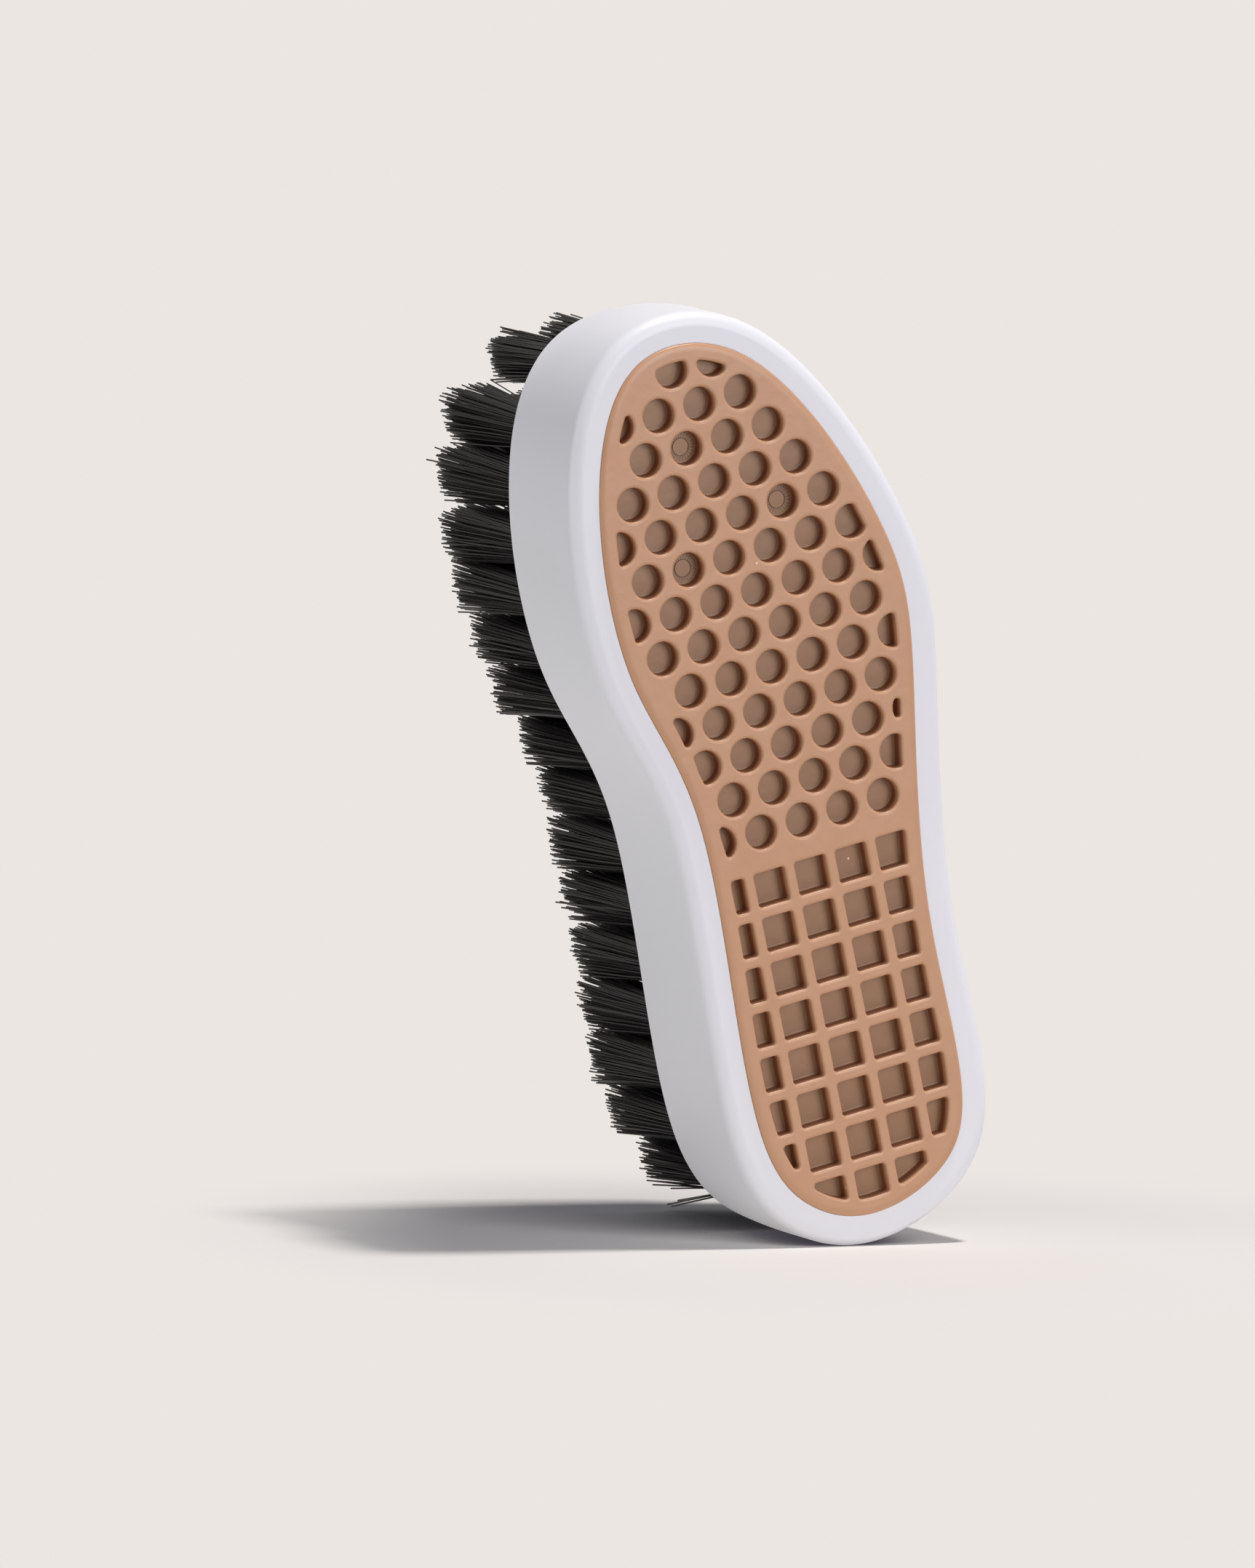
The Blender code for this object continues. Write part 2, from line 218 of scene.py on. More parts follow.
def new_material(name):
    """An empty material, its node tree and its output node."""
    material = bpy.data.materials.new(name)
    material.use_nodes = True
    tree = material.node_tree
    tree.nodes.clear()
    return material, tree, tree.nodes.new("ShaderNodeOutputMaterial")


# %% [markdown]
# ## Paper of the floor
# The brush stands on matt paper, which takes its shadow. For the camera the paper is also shaded
# where the brush covers most of the room above it. Smaller lamps would deepen the shadow at the
# heel too, but they would harden it everywhere else.

# %% Shaded paper
FLOOR_PAPER = "E2DFDB"
CONTACT_SHADE = "5E5C68"
CONTACT_REACH = 50 * MM
CONTACT_SAMPLES = 8
OPEN_SHARE = 0.46
COVERED_SHARE = 0.06

paper_floor, tree, output = new_material("pale_paper_floor")
ray = add_node(tree, "ShaderNodeLightPath")
room = add_node(tree, "ShaderNodeAmbientOcclusion", {
    "Distance": CONTACT_REACH}, samples=CONTACT_SAMPLES)
covered = add_node(tree, "ShaderNodeMapRange", {
    "Value": room.outputs["AO"], "From Min": OPEN_SHARE, "From Max": COVERED_SHARE,
    "To Max": ray.outputs["Is Camera Ray"]}, interpolation_type="SMOOTHSTEP")
paper = add_node(tree, "ShaderNodeMix", {
    "Factor": covered.outputs["Result"], "A": linear(FLOOR_PAPER),
    "B": linear(CONTACT_SHADE)}, data_type="RGBA")
shaded = add_node(tree, "ShaderNodeBsdfDiffuse", {"Color": paper.outputs["Result"]})
print("paper shaded within, mm:", round(CONTACT_REACH / MM))

# %% [markdown]
# Away from the brush the paper fades into the pale backdrop, so that no horizon shows. Light that
# comes off it onto the brush is partly evened out, because a black spot where the heel stands would
# show in the views from below. From behind and below the paper lets the view through.

# %% Fade into the backdrop
PAPER = "EBE6E2"
FADE_START = 50 * MM
FADE_END = 100 * MM
BOUNCE_SHARE = 0.5
BOUNCE_STRENGTH = 0.95


def add_seen_rays(tree):
    """The share of a ray that shows the plain backdrop: camera, glossy and transmission rays."""
    ray = add_node(tree, "ShaderNodeLightPath")
    seen = ray.outputs["Is Camera Ray"]
    for kind in ("Is Glossy Ray", "Is Transmission Ray"):
        either = add_node(tree, "ShaderNodeMath", {
            0: seen, 1: ray.outputs[kind]}, operation="MAXIMUM")
        seen = either.outputs[0]
    return seen


bounced = add_node(tree, "ShaderNodeMath", {
    0: ray.outputs["Is Diffuse Ray"], 1: BOUNCE_SHARE}, operation="MULTIPLY")
bounce = add_node(tree, "ShaderNodeEmission", {
    "Color": linear(PAPER), "Strength": BOUNCE_STRENGTH})
lit = add_node(tree, "ShaderNodeMixShader", {
    0: bounced.outputs[0], 1: shaded.outputs[0], 2: bounce.outputs[0]})
place = add_node(tree, "ShaderNodeTexCoord")
away = add_node(tree, "ShaderNodeVectorMath", {0: place.outputs["Object"]}, operation="LENGTH")
fade = add_node(tree, "ShaderNodeMapRange", {
    "Value": away.outputs["Value"], "From Min": FADE_START, "From Max": FADE_END,
    "To Max": add_seen_rays(tree)}, interpolation_type="SMOOTHSTEP")
plain = add_node(tree, "ShaderNodeEmission", {"Color": linear(PAPER), "Strength": 1.0})
faded = add_node(tree, "ShaderNodeMixShader", {
    0: fade.outputs["Result"], 1: lit.outputs[0], 2: plain.outputs[0]})
side = add_node(tree, "ShaderNodeNewGeometry")
clear = add_node(tree, "ShaderNodeBsdfTransparent")
shown = add_node(tree, "ShaderNodeMixShader", {
    0: side.outputs["Backfacing"], 1: faded.outputs[0], 2: clear.outputs[0]})
tree.links.new(shown.outputs[0], output.inputs["Surface"])
print("material", paper_floor.name)

# %% [markdown]
# ## Floor under the heel end
# The brush stands on its heel end, so the floor is a disc across that end, tilted a little as the
# camera sees it. Its middle lies at the lowest corner of the cover, and it is marked as a backdrop,
# so that the sizes of the finished model leave it out.

# %% Floor disc
FLOOR_SEEN_AT = math.radians(6)
FLOOR_ROLL = math.radians(1.5)
FLOOR_UP = (to_top + to_viewer * math.tan(FLOOR_SEEN_AT)
            + to_right * math.tan(FLOOR_ROLL)).normalized()
FLOOR_RADIUS = 0.30
FLOOR_SIDES = 96

heel_point = min(corners, key=lambda co: co.dot(FLOOR_UP))
bm = bmesh.new()
bmesh.ops.create_circle(bm, cap_ends=True, segments=FLOOR_SIDES, radius=FLOOR_RADIUS)
floor_mesh = bpy.data.meshes.new("paper_floor")
bm.to_mesh(floor_mesh)
bm.free()
floor_mesh.materials.append(paper_floor)
floor = bpy.data.objects.new("paper_floor", floor_mesh)
floor_turn = FLOOR_UP.to_track_quat("Z", "Y").to_matrix().to_4x4()
floor.matrix_world = Matrix.Translation(heel_point) @ floor_turn
bpy.context.scene.collection.objects.link(floor)
floor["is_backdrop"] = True
print("floor through, mm:", [round(place / MM, 1) for place in heel_point])

# %% [markdown]
# ## Light of a product picture
# The world gives a dim cool light from all round. The camera sees it as plain paper, so the
# background stays pale without more light on the brush.

# %% World
AMBIENT = "EEEEFF"
AMBIENT_STRENGTH = 0.21

world = bpy.data.worlds.new("pale_room")
bpy.context.scene.world = world
world.use_nodes = True
tree = world.node_tree
tree.nodes.clear()
backdrop = add_node(tree, "ShaderNodeBackground", {"Color": linear(PAPER), "Strength": 1.0})
ambient = add_node(tree, "ShaderNodeBackground", {
    "Color": linear(AMBIENT), "Strength": AMBIENT_STRENGTH})
either = add_node(tree, "ShaderNodeMixShader", {
    0: add_seen_rays(tree), 1: ambient.outputs[0], 2: backdrop.outputs[0]})
add_node(tree, "ShaderNodeOutputWorld", {"Surface": either.outputs[0]})

bpy.context.scene.view_settings.view_transform = "Standard"
print("world", world.name)

# %% [markdown]
# Three square soft lamps do the rest. A small one above the toe end draws the crisp shadow on the
# floor, a large one in front on the right lights the tread and the border, and a large one on the
# left keeps the tall side wall from going dark.

# %% Lamps
LAMP_DISTANCE = 0.9


def add_lamp(name, direction, size, power, colour):
    """A square soft lamp that shines on the middle of the brush from a direction."""
    data = bpy.data.lights.new(name, "AREA")
    data.shape = "SQUARE"
    data.size = size
    data.energy = power
    data.color = linear(colour)[:3]
    lamp = bpy.data.objects.new(name, data)
    towards = direction.normalized()
    middle = (cad_low + cad_high) / 2
    lamp.matrix_world = Matrix.Translation(middle + towards * LAMP_DISTANCE) @ \
        towards.to_track_quat("Z", "Y").to_matrix().to_4x4()
    bpy.context.scene.collection.objects.link(lamp)
    print(name, "size", size, "m, power", power, "W")


above = 0.20 * to_right + 0.90 * to_top + 0.12 * to_viewer
front_right = 0.75 * to_right + 0.15 * to_top + 0.75 * to_viewer
left = -0.85 * to_right + 0.50 * to_viewer
add_lamp("top_lamp", above, size=0.08, power=6.4, colour="FFFCFA")
add_lamp("front_softbox", front_right, size=0.45, power=4.25, colour="FBFAFF")
add_lamp("left_softbox", left, size=0.50, power=2.5, colour="FAFFFD")

# %% [markdown]
# ## White cover: moulded ABS
# The cover is injection-moulded ABS from a polished mould: smooth, satin and slightly cool white. A
# perfectly even surface looks like a drawing, so it gets a soft mottle, a slow change of gloss and
# a grain. All are noise, because an image would need a UV map. The grain of a real mould is too
# fine to show, so it is drawn coarser here, at a third of a millimetre.

# %% White plastic
CLOUD = 25 * MM
GRAIN = 0.35 * MM
GRAIN_RELIEF = 0.01 * MM

white_abs, tree, output = new_material("moulded_white_abs")
place = add_node(tree, "ShaderNodeTexCoord")
cloud = add_node(tree, "ShaderNodeTexNoise", {
    "Vector": place.outputs["Object"], "Scale": 1 / CLOUD, "Detail": 3.0})
tone = add_node(tree, "ShaderNodeMix", {
    "Factor": cloud.outputs["Fac"], "A": linear("DCDCE0"),
    "B": linear("E2E2E6")}, data_type="RGBA")
gloss = add_node(tree, "ShaderNodeMapRange", {
    "Value": cloud.outputs["Fac"], "To Min": 0.38, "To Max": 0.46})
grain = add_node(tree, "ShaderNodeTexNoise", {
    "Vector": place.outputs["Object"], "Scale": 1 / GRAIN, "Detail": 2.0})
bump = add_node(tree, "ShaderNodeBump", {
    "Height": grain.outputs["Fac"], "Strength": 0.25, "Distance": GRAIN_RELIEF})
shader = add_node(tree, "ShaderNodeBsdfPrincipled", {
    "Base Color": tone.outputs["Result"], "Roughness": gloss.outputs["Result"], "IOR": 1.53,
    "Normal": bump.outputs["Normal"]})
tree.links.new(shader.outputs[0], output.inputs["Surface"])
print("material", white_abs.name)

# %% [markdown]
# ## Tread pad: moulded tan rubber
# The pad is compression-moulded rubber, satin with a faint bloom. The rib tops carry the rubber's
# own tan and are palest. The floors of the pockets are painted darker and browner as painted shade,
# and the steep sides between them are painted redder and darker as painted shade. The tones could be
# painted on an image, but they follow the height so closely that the height alone mixes them. It is
# read from the Object coordinates: one blend is given by two heights above the pocket floors, the
# other by two depths below the top.

# %% Tones of the rubber
PAD_TOP = pad_high.z
POCKET_DEPTH = 2.0 * MM
POCKET_FLOOR_Z = PAD_TOP - POCKET_DEPTH
POCKET_BLEND = (0.1 * MM, 0.5 * MM)
TOP_BLEND = (1.1 * MM, 0.5 * MM)
BLOOM = 6 * MM

tan_rubber, tree, output = new_material("moulded_tan_rubber")
place = add_node(tree, "ShaderNodeTexCoord")
split = add_node(tree, "ShaderNodeSeparateXYZ", {0: place.outputs["Object"]})
above_floor = add_node(tree, "ShaderNodeMapRange", {
    "Value": split.outputs["Z"], "From Min": POCKET_FLOOR_Z + POCKET_BLEND[0],
    "From Max": POCKET_FLOOR_Z + POCKET_BLEND[1]})
near_top = add_node(tree, "ShaderNodeMapRange", {
    "Value": split.outputs["Z"], "From Min": PAD_TOP - TOP_BLEND[0],
    "From Max": PAD_TOP - TOP_BLEND[1]})
bloom = add_node(tree, "ShaderNodeTexNoise", {
    "Vector": place.outputs["Object"], "Scale": 1 / BLOOM, "Detail": 4.0})
top_tone = add_node(tree, "ShaderNodeMix", {
    "Factor": bloom.outputs["Fac"], "A": linear("B88864"),
    "B": linear("C19371")}, data_type="RGBA")
# Painted shade: the pocket floors are drawn darker and browner than the rib tops.
floor_shade_tone = add_node(tree, "ShaderNodeMix", {
    "Factor": bloom.outputs["Fac"], "A": linear("8C6543"),
    "B": linear("9A734F")}, data_type="RGBA")
# Painted shade: the steep pocket sides are drawn redder and darker, between floor and top.
side_shade_tone = add_node(tree, "ShaderNodeMix", {
    "Factor": above_floor.outputs["Result"], "A": floor_shade_tone.outputs["Result"],
    "B": linear("8A5132")}, data_type="RGBA")
tone = add_node(tree, "ShaderNodeMix", {
    "Factor": near_top.outputs["Result"], "A": side_shade_tone.outputs["Result"],
    "B": top_tone.outputs["Result"]}, data_type="RGBA")
print("pocket floors at, mm:", round(POCKET_FLOOR_Z / MM, 2))

# %% [markdown]
# A few pale specks of moulding flash are left on the rubber: about two cells in five of a Voronoi
# pattern hold a speck at their middle, which shows where it meets the surface. A fine grain, drawn
# a little coarser than the real one so that it shows, and a soft ripple break the shine. Both are
# far flatter than a rib.

# %% Specks and relief of the rubber
SPECK_CELL = 6 * MM
SPECK_RADIUS = 0.16 * MM
SPECK_SHARE = 0.4
RUBBER_GRAIN = 0.25 * MM
RUBBER_GRAIN_RELIEF = 0.02 * MM
RIPPLE = 2.5 * MM
RIPPLE_RELIEF = 0.12 * MM

cells = add_node(tree, "ShaderNodeTexVoronoi", {
    "Vector": place.outputs["Object"], "Scale": 1 / SPECK_CELL})
speck = add_node(tree, "ShaderNodeMath", {
    0: cells.outputs["Distance"], 1: SPECK_RADIUS / SPECK_CELL}, operation="LESS_THAN")
chosen = add_node(tree, "ShaderNodeMath", {
    0: cells.outputs["Color"], 1: 1 - SPECK_SHARE}, operation="GREATER_THAN")
speck = add_node(tree, "ShaderNodeMath", {
    0: speck.outputs[0], 1: chosen.outputs[0]}, operation="MULTIPLY")
tone = add_node(tree, "ShaderNodeMix", {
    "Factor": speck.outputs[0], "A": tone.outputs["Result"],
    "B": linear("E3CBB2")}, data_type="RGBA")
grain = add_node(tree, "ShaderNodeTexNoise", {
    "Vector": place.outputs["Object"], "Scale": 1 / RUBBER_GRAIN, "Detail": 3.0})
ripple = add_node(tree, "ShaderNodeTexNoise", {
    "Vector": place.outputs["Object"], "Scale": 1 / RIPPLE, "Detail": 2.0})
fine = add_node(tree, "ShaderNodeBump", {
    "Height": grain.outputs["Fac"], "Strength": 0.4, "Distance": RUBBER_GRAIN_RELIEF})
soft = add_node(tree, "ShaderNodeBump", {
    "Height": ripple.outputs["Fac"], "Strength": 0.5, "Distance": RIPPLE_RELIEF,
    "Normal": fine.outputs["Normal"]})
shader = add_node(tree, "ShaderNodeBsdfPrincipled", {
    "Base Color": tone.outputs["Result"], "Roughness": 0.40, "IOR": 1.52,
    "Normal": soft.outputs["Normal"]})
tree.links.new(shader.outputs[0], output.inputs["Surface"])
print("material", tan_rubber.name)

# %% [markdown]
# ## Bristles: drawn nylon
# Nylon filament is drawn through a die, so it is smooth along its length and carries a soft streak
# of light. Each filament catches the light a little differently. A whole row of them is one piece,
# so a random tone for each piece wouldn't do: the tone is kept on the faces of each filament, in an
# attribute that this material reads. Faint dust is noise on the Object coordinates.

# %% Black nylon
DUST = 1.5 * MM

black_nylon, tree, output = new_material("drawn_black_nylon")
place = add_node(tree, "ShaderNodeTexCoord")
filament = add_node(tree, "ShaderNodeAttribute", attribute_name="filament_tone")
tone = add_node(tree, "ShaderNodeMix", {
    "Factor": filament.outputs["Fac"], "A": linear("040404"),
    "B": linear("262220")}, data_type="RGBA")
dust = add_node(tree, "ShaderNodeTexNoise", {
    "Vector": place.outputs["Object"], "Scale": 1 / DUST, "Detail": 2.0})
gloss = add_node(tree, "ShaderNodeMapRange", {
    "Value": dust.outputs["Fac"], "To Min": 0.26, "To Max": 0.42})
shader = add_node(tree, "ShaderNodeBsdfPrincipled", {
    "Base Color": tone.outputs["Result"], "Roughness": gloss.outputs["Result"], "IOR": 1.53,
    "Specular IOR Level": 0.20})
tree.links.new(shader.outputs[0], output.inputs["Surface"])
print("material", black_nylon.name)

# %% [markdown]
# ## Adhesive film
# A thin double-sided film holds the pad in its recess. It hides under the pad, and is milky and
# matt.

# %% Adhesive film
FILM_CLOUD = 3 * MM

adhesive, tree, output = new_material("milky_adhesive_film")
place = add_node(tree, "ShaderNodeTexCoord")
cloud = add_node(tree, "ShaderNodeTexNoise", {
    "Vector": place.outputs["Object"], "Scale": 1 / FILM_CLOUD, "Detail": 4.0})
tone = add_node(tree, "ShaderNodeMix", {
    "Factor": cloud.outputs["Fac"], "A": linear("D2CBB8"),
    "B": linear("E0DACB")}, data_type="RGBA")
shader = add_node(tree, "ShaderNodeBsdfPrincipled", {
    "Base Color": tone.outputs["Result"], "Roughness": 0.7, "IOR": 1.47})
tree.links.new(shader.outputs[0], output.inputs["Surface"])
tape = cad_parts["pad_tape"]
tape.data.materials.clear()
tape.data.materials.append(adhesive)
print("material", adhesive.name)

# %% [markdown]
# ## One way to shape every moulded piece
# A moulded piece is a stack of sections: the same outline, drawn in or out a little, at one height
# after another. Bevels and subdivision would round a piece too, but sections put each edge exactly
# where the solid has it. The open rim of the mesh is extruded, and each new corner goes to its
# place in the next section. A rounded edge is only a few such sections along an arc.

# %% Section helpers


def start_rim(bm, bases, directions, offset, z, first=0):
    """A closed rim of new corners, numbered so that each finds its place in later sections."""
    numbers = bm.verts.layers.int
    station = numbers.get("station") or numbers.new("station")
    rim = []
    for i, (base, direction) in enumerate(zip(bases, directions)):
        corner = bm.verts.new((*(base + direction * offset), z))
        corner[station] = first + i
        rim.append(corner)
    return [bm.edges.new((rim[i - 1], rim[i])) for i in range(len(rim))]


def sweep(bm, rim, bases, directions, sections):
    """Extrude a rim through sections, each an offset and a height, and return the last rim."""
    station = bm.verts.layers.int["station"]
    for offset, z in sections:
        grown = bmesh.ops.extrude_edge_only(bm, edges=rim)["geom"]
        for corner in grown:
            if isinstance(corner, bmesh.types.BMVert):
                i = corner[station]
                corner.co = (*(bases[i] + directions[i] * offset), z)
        rim = [edge for edge in grown if isinstance(edge, bmesh.types.BMEdge) and edge.is_boundary]
    return rim


def arc(steps):
    """Sines and cosines of even steps over a quarter turn."""
    angles = [math.radians(90) * i / steps for i in range(steps + 1)]
    return [(math.sin(angle), math.cos(angle)) for angle in angles]


# %% [markdown]
# A finished piece is shaded smooth, apart from edges that are sharper than an angle. It rides on
# the brush's one body and stands for nodes of the solid model.

# %% Finished pieces
SHARP_ANGLE = math.radians(40)


def keep_piece(name, bm, material, slot, *nodes):
    """Make the finished piece, which moves with the brush and stands for nodes of the solids."""
    bmesh.ops.recalc_face_normals(bm, faces=bm.faces)
    mesh = bpy.data.meshes.new(name)
    bm.to_mesh(mesh)
    bm.free()
    mesh.materials.append(material)
    mesh.shade_smooth()
    mesh.set_sharp_from_angle(angle=SHARP_ANGLE)
    piece = bpy.data.objects.new(name, mesh)
    bpy.context.scene.collection.objects.link(piece)
    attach(piece, "root")
    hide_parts(*nodes)
    print(name, len(mesh.polygons), "faces")
    return piece


# %% [markdown]
# ## White cover
# Solidify would give a shell of one thickness, but the deck under the recess is thicker than the
# wall. So one stack of sections makes the whole shell: recess, flat border, rounded edge, wall, rim
# and inside. The round edge between the face and the wall is soft, as on the real cover, so the
# face flows over into the wall without a line. Close sections beside an edge keep the flats flat
# where the shading is smooth.

# %% Sections of the cover
BORDER = (cover_high.x - cover_low.x - pad_high.x + pad_low.x) / 2 - CLEARANCE
FACE_Z = cover_high.z
FACE_RADIUS = FACE_Z - shoulder_z
RIM_Z = cover_low.z
RIM_RADIUS = 0.5 * MM
TUCK = 0.4 * MM
WALL = PLATE_INSET - CLEARANCE - TUCK
DECK = 2.2 * MM
RECESS_Z = tape_low.z - CLEARANCE
DECK_Z = RECESS_Z - DECK
RECESS_EDGE = 0.06 * MM
SUPPORT = 0.12 * MM
LIP_STEPS = 3
RIM_STEPS = 4
FACE_STEPS = 8

face = [(BORDER, FACE_Z - RECESS_EDGE)]
face += [(BORDER - RECESS_EDGE * (1 - cosine), FACE_Z - RECESS_EDGE * (1 - sine))
         for sine, cosine in arc(LIP_STEPS)[1:]]
face += [(BORDER - RECESS_EDGE - SUPPORT, FACE_Z), (FACE_RADIUS + SUPPORT, FACE_Z)]
face += [(FACE_RADIUS * (1 - sine), FACE_Z - FACE_RADIUS * (1 - cosine))
         for sine, cosine in arc(FACE_STEPS)]
face.append((0, tuck_z))
foot = [(TUCK + RIM_RADIUS * (1 - cosine), RIM_Z + RIM_RADIUS * (1 - sine))
        for sine, cosine in arc(RIM_STEPS)[1:]]
foot += [(TUCK + WALL - SUPPORT, RIM_Z), (TUCK + WALL, RIM_Z + SUPPORT), (TUCK + WALL, DECK_Z)]
print("border, mm:", round(BORDER / MM, 2), "wall, mm:", round(WALL / MM, 2))

# %% [markdown]
# The wall tucks in a little towards the rim, and more below the toe, so its sections lean from the
# outline to the tucked outline, ever faster on the way down.

# %% Cover shell
TUCK_STEPS = 10

bm = bmesh.new()
rim = start_rim(bm, outline, outline_in, BORDER, RECESS_Z)
bmesh.ops.edgeloop_fill(bm, edges=rim)
rim = sweep(bm, rim, outline, outline_in, face)
drop = tuck_z - RIM_Z - RIM_RADIUS
for i in range(1, TUCK_STEPS + 1):
    share = (i / TUCK_STEPS) ** 2
    leaning = outline + (tucked - outline) * share
    rim = sweep(bm, rim, leaning, outline_in, [(TUCK * share, tuck_z - drop * i / TUCK_STEPS)])
rim = sweep(bm, rim, tucked, outline_in, foot)
bmesh.ops.edgeloop_fill(bm, edges=rim)
cover = keep_piece("moulded_cover", bm, white_abs, "white_plastic", "cover_shell")

# %% [markdown]
# Blocks with softened edges make the ribs and nubs. They could just stand in the wall, but then
# faces would be left inside the plastic. A Boolean union joins them to the shell and is applied at
# once, so that the cover stays one closed body.

# %% Block helpers
SOFTENING = 0.15 * MM
SOFTENING_STEPS = 2


def add_block(bm, size, place, spin=0.0):
    """Add a box of a size, turned about Z and centred on a place, with softened edges."""
    turned = Matrix.Translation(place) @ Matrix.Rotation(spin, 4, "Z")
    block = bmesh.ops.create_cube(bm, size=1, matrix=turned @ Matrix.Diagonal((*size, 1)))
    edges = list({edge for corner in block["verts"] for edge in corner.link_edges})
    bmesh.ops.bevel(bm, geom=edges, offset=SOFTENING, segments=SOFTENING_STEPS, profile=0.5,
                    affect="EDGES", material=-1)


def chord(x, loop):
    """Lowest and highest Y of a loop at a station along the brush."""
    ahead = np.roll(loop, -1, axis=0)
    crosses = (loop[:, 0] > x) != (ahead[:, 0] > x)
    share = (x - loop[crosses, 0]) / (ahead[crosses, 0] - loop[crosses, 0])
    y = loop[crosses, 1] + share * (ahead[crosses, 1] - loop[crosses, 1])
    return y.min(), y.max()


def join_solid(piece, bm):
    """Join a helper solid to a piece, as one closed body."""
    mesh = bpy.data.meshes.new("helper")
    bm.to_mesh(mesh)
    bm.free()
    helper = bpy.data.objects.new("helper", mesh)
    bpy.context.scene.collection.objects.link(helper)
    union = piece.modifiers.new("union", "BOOLEAN")
    union.operation = "UNION"
    union.solver = "EXACT"
    union.object = helper
    evaluated = piece.evaluated_get(bpy.context.evaluated_depsgraph_get())
    piece.data = bpy.data.meshes.new_from_object(evaluated)
    piece.modifiers.clear()
    bpy.data.objects.remove(helper)
    piece.data.shade_smooth()
    piece.data.set_sharp_from_angle(angle=SHARP_ANGLE)
    print(piece.name, len(piece.data.polygons), "faces after the union")


# %% [markdown]
# Ribs under the deck back up the plate, one between every second pair of rows, and eight nubs
# inside the rim catch its edge, so the plate snaps in. On the real cover they are moulded in one
# with the wall, so each block reaches a little into it.

# %% Ribs and snap nubs
RIB_THICKNESS = 1.5 * MM
RIB_EVERY = 2
NUB_COUNT = 8
NUB_LENGTH = 6.0 * MM
NUB_HEIGHT = 0.7 * MM
NUB_CATCH = 0.5 * MM
ROOT_DEPTH = 0.6 * MM

wall_in = tucked + outline_in * (TUCK + WALL)
bm = bmesh.new()
rib_z = plate_high.z + CLEARANCE
for before, after in list(zip(row_x, row_x[1:]))[RIB_EVERY - 1::RIB_EVERY]:
    x = (before + after) / 2
    low, high = chord(x, wall_in - outline_in * ROOT_DEPTH)
    top = DECK_Z + ROOT_DEPTH
    place = (x, (low + high) / 2, (top + rib_z) / 2)
    add_block(bm, (RIB_THICKNESS, high - low, top - rib_z), place)
nub_depth = ROOT_DEPTH + CLEARANCE + NUB_CATCH
for i in range(NUB_COUNT):
    station = round((i + 0.5) * len(outline) / NUB_COUNT) % len(outline)
    into = outline_in[station]
    middle = wall_in[station] + into * (nub_depth / 2 - ROOT_DEPTH)
    place = (*middle, plate_low.z - CLEARANCE - NUB_HEIGHT / 2)
    add_block(bm, (nub_depth, NUB_LENGTH, NUB_HEIGHT), place, math.atan2(into[1], into[0]))
join_solid(cover, bm)

# %% [markdown]
# ## Plans with holes
# The tread and the tuft plate are flat sheets with many openings. A Boolean cut for each opening is
# slow and leaves slivers. Here the outline and the rims of all the openings lie in one plane, and
# one fill closes the sheet between them.

# %% Fill helper


def fill_between(bm, rims):
    """Fill the flat sheet inside the outer rim and outside the others."""
    bmesh.ops.triangle_fill(bm, edges=rims, use_beauty=True, use_dissolve=False)


# %% [markdown]
# ## Tread pattern
# Staggered round pockets fill the forefoot, a plain band crosses the arch, and rows of rounded
# squares fill the heel. A pocket is kept where its centre lies in the field inside the pad's
# border, or not far outside.

# %% Pocket places
PITCH = 6.1 * MM
RIB = 1.5 * MM
BAND_X = -10 * MM
BAND = 3.0 * MM
PAD_BORDER = 1.9 * MM
OVERHANG = 1.3 * MM
COLUMNS = range(-5, 6)
FIELD_INSET = BORDER + CLEARANCE + PAD_BORDER

field = outline + outline_in * FIELD_INSET
field_reach = outline + outline_in * (FIELD_INSET - OVERHANG)


def inside(point, loop):
    """Whether a point lies inside a closed loop."""
    ahead = np.roll(loop, -1, axis=0)
    crosses = (loop[:, 1] > point[1]) != (ahead[:, 1] > point[1])
    share = (point[1] - loop[crosses, 1]) / (ahead[crosses, 1] - loop[crosses, 1])
    reach = loop[crosses, 0] + share * (ahead[crosses, 0] - loop[crosses, 0])
    return np.count_nonzero(reach > point[0]) % 2 == 1


def pocket_places():
    """Centres of the round pockets in the forefoot and of the square ones in the heel."""
    reach = cover_high.x
    gap = (BAND + PITCH - RIB) / 2
    rounds = []
    for i, x in enumerate(np.arange(BAND_X + gap, reach, PITCH * math.sqrt(3) / 2)):
        rounds += [np.array((x, (column + i % 2 / 2) * PITCH)) for column in COLUMNS]
    squares = []
    for x in np.arange(BAND_X - gap, -reach, -PITCH):
        squares += [np.array((x, column * PITCH)) for column in COLUMNS]
    return [[p for p in group if inside(p, field_reach)] for group in (rounds, squares)]


rounds, squares = pocket_places()
print("pocket places:", len(rounds), "round,", len(squares), "square")

# %% [markdown]
# A pocket is a small core shape with a radius round it, so that its rim can grow and shrink for the
# lip, the wall and the floor. Cores at the edge are cut back by the border, and a core that is cut
# away leaves no pocket.

# %% Pocket plan
CORNER = 0.45 * MM
CORE_SIDES = 24
NEAR_FIELD = 0.8 * PITCH
MERGE = 0.03 * MM
ROUND_STEP = math.radians(15)


